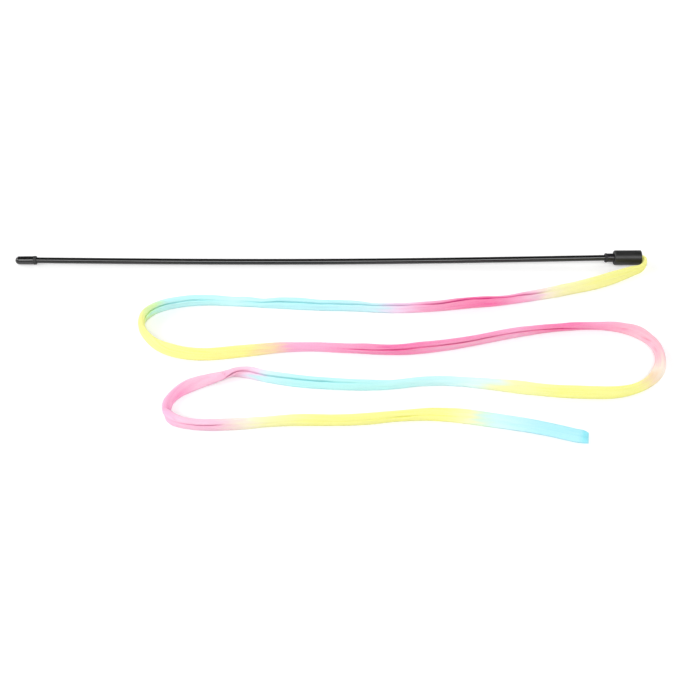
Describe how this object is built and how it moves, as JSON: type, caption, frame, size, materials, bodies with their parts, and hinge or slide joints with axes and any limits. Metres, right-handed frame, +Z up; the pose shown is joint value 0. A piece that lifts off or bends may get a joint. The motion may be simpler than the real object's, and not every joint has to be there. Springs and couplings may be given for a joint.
{
  "type": "cat teaser wand",
  "caption": "Slim black wand with a push-on bullet cap at the handle end and a barrel socket holding a long limp rainbow fleece ribbon for a cat to chase.",
  "frame": {"origin": "on the surface that the wand lies on, under the middle of the wand without its ribbon", "axes": "+X along the wand from the handle cap to the ribbon socket, +Z up from the surface"},
  "size_m": [0.4756, 0.1985, 0.0113],
  "materials": {
    "rod_plastic": "semi-gloss black",
    "cap_vinyl": "satin black",
    "sleeve_vinyl": "satin black",
    "barrel_plastic": "satin black",
    "wedge_plastic": "matt black",
    "ribbon_fleece": "short-pile fleece dyed in soft bands of yellow, pink and light blue"
  },
  "bodies": {
    "wand_rod": {"rod": "rod_plastic"},
    "cap": {"handle_cap": "cap_vinyl"},
    "socket": {"neck_sleeve": "sleeve_vinyl", "ribbon_barrel": "barrel_plastic", "ribbon_wedge": "wedge_plastic", "ribbon": "ribbon_fleece"}
  },
  "joints": [
    {"name": "cap_pull", "type": "slide", "parent": "wand_rod", "child": "cap", "axis": [-1, 0, -0.0052], "range_m": [0, 0.02]},
    {"name": "socket_pull", "type": "slide", "parent": "wand_rod", "child": "socket", "axis": [1, 0, 0.0052], "range_m": [0, 0.02]}
  ]
}
